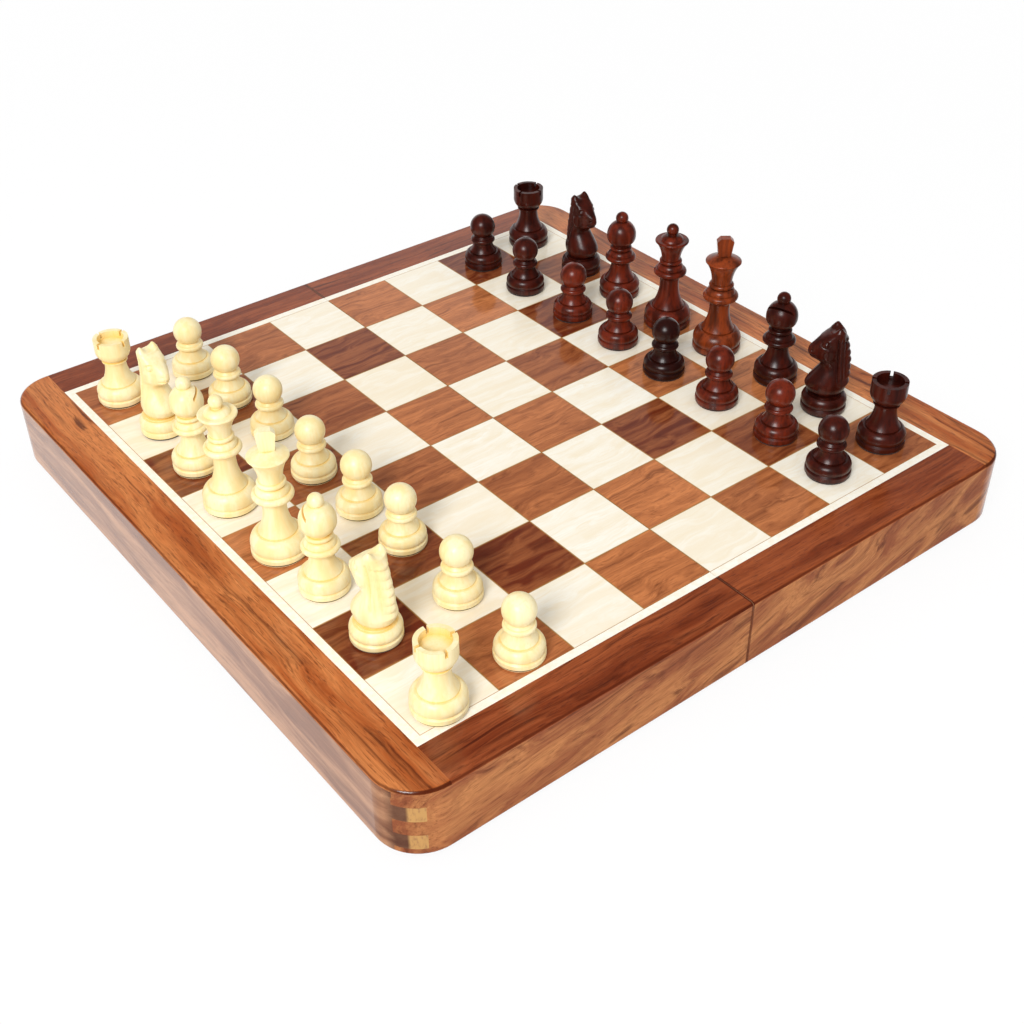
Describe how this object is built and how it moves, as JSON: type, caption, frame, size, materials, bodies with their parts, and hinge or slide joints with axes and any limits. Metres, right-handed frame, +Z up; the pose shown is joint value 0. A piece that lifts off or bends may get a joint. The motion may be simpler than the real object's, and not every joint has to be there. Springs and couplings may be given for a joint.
{
  "type": "folding chess board",
  "caption": "Wooden chess board on two shallow trays that fold together into a storage box, with inlaid squares, finger-jointed walls, hidden hinges and magnetic turned men.",
  "frame": {"origin": "on the fold line, under the middle of the open board, level with the lowest point of the hinge barrels", "axes": "+Z up, Y along the fold, White on the -X side and Black on the +X side, the rook's file h towards -Y"},
  "size_m": [0.309, 0.309, 0.0874],
  "materials": {
    "sheesham": "gloss lacquer",
    "dark_squares": "gloss lacquer",
    "light_wood": "gloss lacquer",
    "plywood": "raw",
    "boxwood": "satin wax",
    "rosewood": "gloss polish",
    "steel": "plain",
    "magnet": "plated",
    "brass": "polished",
    "felt": "matt"
  },
  "bodies": {
    "white_half": {"white_side_long_wall": "sheesham", "white_side_end_walls": "sheesham", "white_side_seam_wall": "sheesham", "white_side_rim_strips": "sheesham", "white_side_core_panel": "plywood", "white_side_steel_sheet": "steel", "white_side_inlay_strips": "light_wood", "white_side_light_squares": "light_wood", "white_side_dark_squares": "dark_squares", "white_side_felt_lining": "felt", "white_side_closing_magnets": "magnet", "white_side_hinge_leaves": "brass", "white_side_hinge_screws": "brass", "hinge_pins": "brass"},
    "black_half": {"black_side_long_wall": "sheesham", "black_side_end_walls": "sheesham", "black_side_seam_wall": "sheesham", "black_side_rim_strips": "sheesham", "black_side_core_panel": "plywood", "black_side_steel_sheet": "steel", "black_side_inlay_strips": "light_wood", "black_side_light_squares": "light_wood", "black_side_dark_squares": "dark_squares", "black_side_felt_lining": "felt", "black_side_closing_magnets": "magnet", "black_side_hinge_leaves": "brass", "black_side_hinge_screws": "brass"},
    "white_rook_a": {"white_rook_a": "boxwood"},
    "white_knight_b": {"white_knight_b": "boxwood"},
    "white_bishop_c": {"white_bishop_c": "boxwood"},
    "white_queen": {"white_queen": "boxwood"},
    "white_king": {"white_king": "boxwood"},
    "white_bishop_f": {"white_bishop_f": "boxwood"},
    "white_knight_g": {"white_knight_g": "boxwood"},
    "white_rook_h": {"white_rook_h": "boxwood"},
    "white_pawn_a": {"white_pawn_a": "boxwood"},
    "white_pawn_b": {"white_pawn_b": "boxwood"},
    "white_pawn_c": {"white_pawn_c": "boxwood"},
    "white_pawn_d": {"white_pawn_d": "boxwood"},
    "white_pawn_e": {"white_pawn_e": "boxwood"},
    "white_pawn_f": {"white_pawn_f": "boxwood"},
    "white_pawn_g": {"white_pawn_g": "boxwood"},
    "white_pawn_h": {"white_pawn_h": "boxwood"},
    "black_rook_a": {"black_rook_a": "rosewood"},
    "black_knight_b": {"black_knight_b": "rosewood"},
    "black_bishop_c": {"black_bishop_c": "rosewood"},
    "black_queen": {"black_queen": "rosewood"},
    "black_king": {"black_king": "rosewood"},
    "black_bishop_f": {"black_bishop_f": "rosewood"},
    "black_knight_g": {"black_knight_g": "rosewood"},
    "black_rook_h": {"black_rook_h": "rosewood"},
    "black_pawn_a": {"black_pawn_a": "rosewood"},
    "black_pawn_b": {"black_pawn_b": "rosewood"},
    "black_pawn_c": {"black_pawn_c": "rosewood"},
    "black_pawn_d": {"black_pawn_d": "rosewood"},
    "black_pawn_e": {"black_pawn_e": "rosewood"},
    "black_pawn_f": {"black_pawn_f": "rosewood"},
    "black_pawn_g": {"black_pawn_g": "rosewood"},
    "black_pawn_h": {"black_pawn_h": "rosewood"}
  },
  "joints": [
    {"name": "board_fold", "type": "hinge", "parent": "white_half", "child": "black_half", "pos_m": [0, 0, 0.0014], "axis": [0, 1, 0], "range_deg": [0, 180]},
    {"name": "lift_white_rook_a", "type": "slide", "parent": "white_half", "child": "white_rook_a", "axis": [0, 0, 1], "range_m": [0, 0.06]},
    {"name": "lift_white_knight_b", "type": "slide", "parent": "white_half", "child": "white_knight_b", "axis": [0, 0, 1], "range_m": [0, 0.06]},
    {"name": "lift_white_bishop_c", "type": "slide", "parent": "white_half", "child": "white_bishop_c", "axis": [0, 0, 1], "range_m": [0, 0.06]},
    {"name": "lift_white_queen", "type": "slide", "parent": "white_half", "child": "white_queen", "axis": [0, 0, 1], "range_m": [0, 0.06]},
    {"name": "lift_white_king", "type": "slide", "parent": "white_half", "child": "white_king", "axis": [0, 0, 1], "range_m": [0, 0.06]},
    {"name": "lift_white_bishop_f", "type": "slide", "parent": "white_half", "child": "white_bishop_f", "axis": [0, 0, 1], "range_m": [0, 0.06]},
    {"name": "lift_white_knight_g", "type": "slide", "parent": "white_half", "child": "white_knight_g", "axis": [0, 0, 1], "range_m": [0, 0.06]},
    {"name": "lift_white_rook_h", "type": "slide", "parent": "white_half", "child": "white_rook_h", "axis": [0, 0, 1], "range_m": [0, 0.06]},
    {"name": "lift_white_pawn_a", "type": "slide", "parent": "white_half", "child": "white_pawn_a", "axis": [0, 0, 1], "range_m": [0, 0.06]},
    {"name": "lift_white_pawn_b", "type": "slide", "parent": "white_half", "child": "white_pawn_b", "axis": [0, 0, 1], "range_m": [0, 0.06]},
    {"name": "lift_white_pawn_c", "type": "slide", "parent": "white_half", "child": "white_pawn_c", "axis": [0, 0, 1], "range_m": [0, 0.06]},
    {"name": "lift_white_pawn_d", "type": "slide", "parent": "white_half", "child": "white_pawn_d", "axis": [0, 0, 1], "range_m": [0, 0.06]},
    {"name": "lift_white_pawn_e", "type": "slide", "parent": "white_half", "child": "white_pawn_e", "axis": [0, 0, 1], "range_m": [0, 0.06]},
    {"name": "lift_white_pawn_f", "type": "slide", "parent": "white_half", "child": "white_pawn_f", "axis": [0, 0, 1], "range_m": [0, 0.06]},
    {"name": "lift_white_pawn_g", "type": "slide", "parent": "white_half", "child": "white_pawn_g", "axis": [0, 0, 1], "range_m": [0, 0.06]},
    {"name": "lift_white_pawn_h", "type": "slide", "parent": "white_half", "child": "white_pawn_h", "axis": [0, 0, 1], "range_m": [0, 0.06]},
    {"name": "lift_black_rook_a", "type": "slide", "parent": "black_half", "child": "black_rook_a", "axis": [0, 0, 1], "range_m": [0, 0.06]},
    {"name": "lift_black_knight_b", "type": "slide", "parent": "black_half", "child": "black_knight_b", "axis": [0, 0, 1], "range_m": [0, 0.06]},
    {"name": "lift_black_bishop_c", "type": "slide", "parent": "black_half", "child": "black_bishop_c", "axis": [0, 0, 1], "range_m": [0, 0.06]},
    {"name": "lift_black_queen", "type": "slide", "parent": "black_half", "child": "black_queen", "axis": [0, 0, 1], "range_m": [0, 0.06]},
    {"name": "lift_black_king", "type": "slide", "parent": "black_half", "child": "black_king", "axis": [0, 0, 1], "range_m": [0, 0.06]},
    {"name": "lift_black_bishop_f", "type": "slide", "parent": "black_half", "child": "black_bishop_f", "axis": [0, 0, 1], "range_m": [0, 0.06]},
    {"name": "lift_black_knight_g", "type": "slide", "parent": "black_half", "child": "black_knight_g", "axis": [0, 0, 1], "range_m": [0, 0.06]},
    {"name": "lift_black_rook_h", "type": "slide", "parent": "black_half", "child": "black_rook_h", "axis": [0, 0, 1], "range_m": [0, 0.06]},
    {"name": "lift_black_pawn_a", "type": "slide", "parent": "black_half", "child": "black_pawn_a", "axis": [0, 0, 1], "range_m": [0, 0.06]},
    {"name": "lift_black_pawn_b", "type": "slide", "parent": "black_half", "child": "black_pawn_b", "axis": [0, 0, 1], "range_m": [0, 0.06]},
    {"name": "lift_black_pawn_c", "type": "slide", "parent": "black_half", "child": "black_pawn_c", "axis": [0, 0, 1], "range_m": [0, 0.06]},
    {"name": "lift_black_pawn_d", "type": "slide", "parent": "black_half", "child": "black_pawn_d", "axis": [0, 0, 1], "range_m": [0, 0.06]},
    {"name": "lift_black_pawn_e", "type": "slide", "parent": "black_half", "child": "black_pawn_e", "axis": [0, 0, 1], "range_m": [0, 0.06]},
    {"name": "lift_black_pawn_f", "type": "slide", "parent": "black_half", "child": "black_pawn_f", "axis": [0, 0, 1], "range_m": [0, 0.06]},
    {"name": "lift_black_pawn_g", "type": "slide", "parent": "black_half", "child": "black_pawn_g", "axis": [0, 0, 1], "range_m": [0, 0.06]},
    {"name": "lift_black_pawn_h", "type": "slide", "parent": "black_half", "child": "black_pawn_h", "axis": [0, 0, 1], "range_m": [0, 0.06]}
  ]
}
